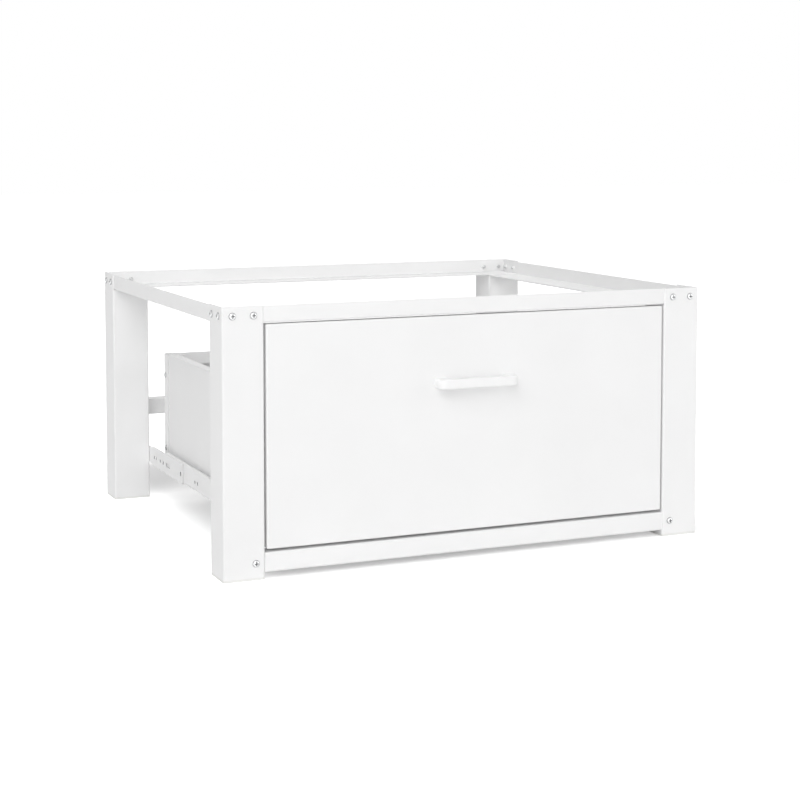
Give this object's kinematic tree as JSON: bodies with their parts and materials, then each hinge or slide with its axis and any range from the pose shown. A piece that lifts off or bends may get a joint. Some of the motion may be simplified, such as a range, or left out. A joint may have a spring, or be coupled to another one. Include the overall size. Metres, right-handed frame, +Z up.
{
  "type": "washing machine pedestal with drawer",
  "caption": "White steel pedestal that lifts a washing machine or dryer, with a full-width drawer on ball bearing slides between its legs.",
  "frame": {"origin": "on the floor, under the middle of the whole object, handle included", "axes": "+X to the right seen from the front, +Y to the back, +Z up; the drawer opens towards -Y"},
  "size_m": [0.6346, 0.5613, 0.315],
  "materials": {
    "powder_coat": "semi-gloss white powder coat on sheet steel",
    "handle_paint": "smooth white enamel on a die-cast handle",
    "foot_plastic": "moulded white polyethylene",
    "screw_zinc": "bright zinc plate",
    "slide_zinc": "zinc plated cold-rolled steel",
    "cage_steel": "thin spring steel",
    "ball_steel": "polished bearing steel",
    "stop_rubber": "black rubber"
  },
  "bodies": {
    "frame": {"leg_front_left": "powder_coat", "leg_front_right": "powder_coat", "leg_rear_left": "powder_coat", "leg_rear_right": "powder_coat", "top_rail_front": "powder_coat", "top_rail_rear": "powder_coat", "top_rail_left": "powder_coat", "top_rail_right": "powder_coat", "lower_front_rail": "powder_coat", "rear_crossbar": "powder_coat", "cabinet_member_left": "powder_coat", "cabinet_member_right": "powder_coat", "slide_bracket_left": "powder_coat", "slide_bracket_right": "powder_coat", "foot_cap_front_left": "foot_plastic", "foot_cap_front_right": "foot_plastic", "foot_cap_rear_left": "foot_plastic", "foot_cap_rear_right": "foot_plastic", "frame_screws": "screw_zinc", "tab_screws": "screw_zinc", "slide_screws": "screw_zinc", "slide_stop_left": "stop_rubber", "slide_stop_right": "stop_rubber"},
    "drawer": {"drawer_front": "powder_coat", "front_liner": "powder_coat", "drawer_side_left": "powder_coat", "drawer_side_right": "powder_coat", "drawer_back": "powder_coat", "drawer_bottom": "powder_coat", "box_front_screws": "screw_zinc", "box_back_screws": "screw_zinc", "handle": "handle_paint", "handle_screws": "screw_zinc", "drawer_member_left": "slide_zinc", "drawer_member_right": "slide_zinc", "drawer_member_screws": "screw_zinc"},
    "ball_cage_left": {"ball_cage_left": "cage_steel", "balls_left": "ball_steel"},
    "ball_cage_right": {"ball_cage_right": "cage_steel", "balls_right": "ball_steel"}
  },
  "joints": [
    {"name": "drawer_slide", "type": "slide", "parent": "frame", "child": "drawer", "axis": [0, -1, 0], "range_m": [0, 0.28]},
    {"name": "cage_slide_left", "type": "slide", "parent": "frame", "child": "ball_cage_left", "axis": [0, -1, 0], "range_m": [0, 0.14]},
    {"name": "cage_slide_right", "type": "slide", "parent": "frame", "child": "ball_cage_right", "axis": [0, -1, 0], "range_m": [0, 0.14]}
  ],
  "couplings": [
    {"joint": "cage_slide_left", "follows": "drawer_slide", "ratio": 0.5},
    {"joint": "cage_slide_right", "follows": "drawer_slide", "ratio": 0.5}
  ]
}
